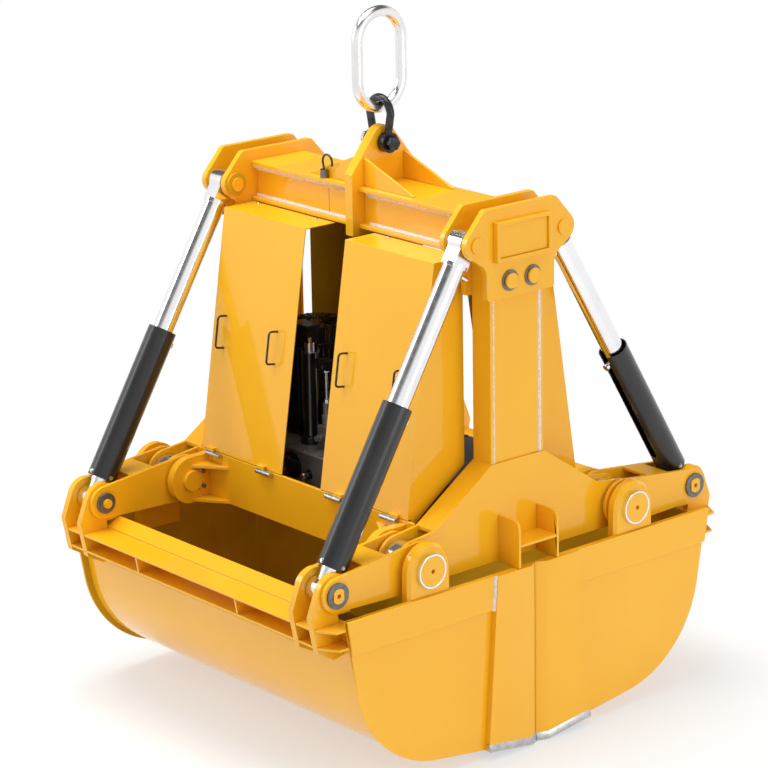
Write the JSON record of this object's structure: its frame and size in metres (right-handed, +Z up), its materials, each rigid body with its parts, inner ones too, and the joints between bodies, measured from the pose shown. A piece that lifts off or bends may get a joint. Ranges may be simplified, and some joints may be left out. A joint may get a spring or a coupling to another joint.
{
  "type": "hydraulic clamshell grab",
  "caption": "Clamshell grab hung from a hook link and shackle: hydraulic cylinders on a beam frame swing its shells open, with hinged covers over the power pack.",
  "frame": {"origin": "inside top of the master link, where the crane hook bears", "axes": "X is the opening direction, Y runs along the shell hinges, Z is up"},
  "size_m": [2.11, 1.812, 2.8129],
  "materials": {
    "yellow_paint": "gloss yellow-orange enamel",
    "black_paint": "gloss black enamel",
    "dark_steel": "dark forged steel",
    "bright_steel": "machined steel",
    "polished_steel": "polished plated steel",
    "grey_paint": "satin grey enamel"
  },
  "bodies": {
    "hook_link": {"master_link": "polished_steel"},
    "shackle": {"shackle_bow": "dark_steel", "shackle_bolt": "bright_steel"},
    "frame": {"lifting_plate": "yellow_paint", "lifting_gussets": "yellow_paint", "top_beam": "yellow_paint", "inner_end_plates": "yellow_paint", "outer_end_plates": "yellow_paint", "nameplates": "yellow_paint", "columns": "yellow_paint", "column_bolts": "bright_steel", "head_pins": "yellow_paint", "cable_hook": "black_paint", "gable_boxes": "yellow_paint", "hinge_barrels": "bright_steel", "base_tray": "yellow_paint", "inner_hinge_lugs": "yellow_paint", "hinge_pins": "yellow_paint", "pin_keepers": "bright_steel", "bumper_brackets": "yellow_paint", "cover_hinge_posts": "bright_steel", "oil_tank": "grey_paint", "electric_motor": "black_paint", "terminal_box": "grey_paint", "accumulator": "black_paint", "valve_block": "black_paint"},
    "left_shell": {"left_shell_skin": "yellow_paint", "left_shell_ends": "yellow_paint", "left_knives": "yellow_paint", "left_rim_stiffener": "yellow_paint", "left_shell_lugs": "yellow_paint", "left_arms": "yellow_paint", "left_pin_sets": "bright_steel"},
    "right_shell": {"right_shell_skin": "yellow_paint", "right_shell_ends": "yellow_paint", "right_knives": "yellow_paint", "right_rim_stiffener": "yellow_paint", "right_shell_lugs": "yellow_paint", "right_arms": "yellow_paint", "right_pin_sets": "bright_steel"},
    "left_front_door": {"left_front_cover": "yellow_paint", "left_front_handles": "black_paint"},
    "left_front_cylinder": {"left_front_barrel": "polished_steel"},
    "left_front_piston": {"left_front_rod": "polished_steel", "left_front_guard": "black_paint"},
    "left_rear_door": {"left_rear_cover": "yellow_paint", "left_rear_handles": "black_paint"},
    "left_rear_cylinder": {"left_rear_barrel": "polished_steel"},
    "left_rear_piston": {"left_rear_rod": "polished_steel", "left_rear_guard": "black_paint"},
    "right_front_door": {"right_front_cover": "yellow_paint", "right_front_handles": "black_paint"},
    "right_front_cylinder": {"right_front_barrel": "polished_steel"},
    "right_front_piston": {"right_front_rod": "polished_steel", "right_front_guard": "black_paint"},
    "right_rear_door": {"right_rear_cover": "yellow_paint", "right_rear_handles": "black_paint"},
    "right_rear_cylinder": {"right_rear_barrel": "polished_steel"},
    "right_rear_piston": {"right_rear_rod": "polished_steel", "right_rear_guard": "black_paint"}
  },
  "joints": [
    {"name": "shackle_swing", "type": "hinge", "parent": "hook_link", "child": "shackle", "pos_m": [0, 0, -0.3575], "axis": [1, 0, 0], "range_deg": [-30, 30]},
    {"name": "frame_swing", "type": "hinge", "parent": "shackle", "child": "frame", "pos_m": [0, 0, -0.492], "axis": [0, 1, 0], "range_deg": [-45, 45]},
    {"name": "left_shell_open", "type": "hinge", "parent": "frame", "child": "left_shell", "pos_m": [-0.54, 0, -1.922], "axis": [0, 1, 0], "range_deg": [0, 60]},
    {"name": "right_shell_open", "type": "hinge", "parent": "frame", "child": "right_shell", "pos_m": [0.54, 0, -1.922], "axis": [0, -1, 0], "range_deg": [0, 60]},
    {"name": "left_front_cylinder_swing", "type": "hinge", "parent": "frame", "child": "left_front_cylinder", "pos_m": [-0.222, -0.733, -0.737], "axis": [0, 1, 0], "range_deg": [0, 1.3]},
    {"name": "left_front_piston_slide", "type": "slide", "parent": "left_front_cylinder", "child": "left_front_piston", "axis": [0.5142, 0, 0.8577], "range_m": [0, 0.4015]},
    {"name": "left_rear_cylinder_swing", "type": "hinge", "parent": "frame", "child": "left_rear_cylinder", "pos_m": [-0.222, 0.733, -0.737], "axis": [0, 1, 0], "range_deg": [0, 1.3]},
    {"name": "left_rear_piston_slide", "type": "slide", "parent": "left_rear_cylinder", "child": "left_rear_piston", "axis": [0.5142, 0, 0.8577], "range_m": [0, 0.4015]},
    {"name": "right_front_cylinder_swing", "type": "hinge", "parent": "frame", "child": "right_front_cylinder", "pos_m": [0.222, -0.733, -0.737], "axis": [0, -1, 0], "range_deg": [0, 1.3]},
    {"name": "right_front_piston_slide", "type": "slide", "parent": "right_front_cylinder", "child": "right_front_piston", "axis": [-0.5142, 0, 0.8577], "range_m": [0, 0.4015]},
    {"name": "right_rear_cylinder_swing", "type": "hinge", "parent": "frame", "child": "right_rear_cylinder", "pos_m": [0.222, 0.733, -0.737], "axis": [0, -1, 0], "range_deg": [0, 1.3]},
    {"name": "right_rear_piston_slide", "type": "slide", "parent": "right_rear_cylinder", "child": "right_rear_piston", "axis": [-0.5142, 0, 0.8577], "range_m": [0, 0.4015]},
    {"name": "left_front_door_open", "type": "hinge", "parent": "frame", "child": "left_front_door", "pos_m": [-0.462, -0.386, -1.816], "axis": [0, -1, 0], "range_deg": [0, 50]},
    {"name": "left_rear_door_open", "type": "hinge", "parent": "frame", "child": "left_rear_door", "pos_m": [-0.462, 0.386, -1.816], "axis": [0, -1, 0], "range_deg": [0, 50]},
    {"name": "right_front_door_open", "type": "hinge", "parent": "frame", "child": "right_front_door", "pos_m": [0.462, -0.386, -1.816], "axis": [0, 1, 0], "range_deg": [0, 50]},
    {"name": "right_rear_door_open", "type": "hinge", "parent": "frame", "child": "right_rear_door", "pos_m": [0.462, 0.386, -1.816], "axis": [0, 1, 0], "range_deg": [0, 50]}
  ],
  "couplings": [
    {"joint": "right_shell_open", "follows": "left_shell_open", "ratio": 1},
    {"joint": "left_front_cylinder_swing", "follows": "left_shell_open", "ratio": 0.021619},
    {"joint": "left_front_piston_slide", "follows": "left_shell_open", "m_per_rad": 0.38333},
    {"joint": "left_rear_cylinder_swing", "follows": "left_shell_open", "ratio": 0.021619},
    {"joint": "left_rear_piston_slide", "follows": "left_shell_open", "m_per_rad": 0.38333},
    {"joint": "right_front_cylinder_swing", "follows": "left_shell_open", "ratio": 0.021619},
    {"joint": "right_front_piston_slide", "follows": "left_shell_open", "m_per_rad": 0.38333},
    {"joint": "right_rear_cylinder_swing", "follows": "left_shell_open", "ratio": 0.021619},
    {"joint": "right_rear_piston_slide", "follows": "left_shell_open", "m_per_rad": 0.38333}
  ]
}
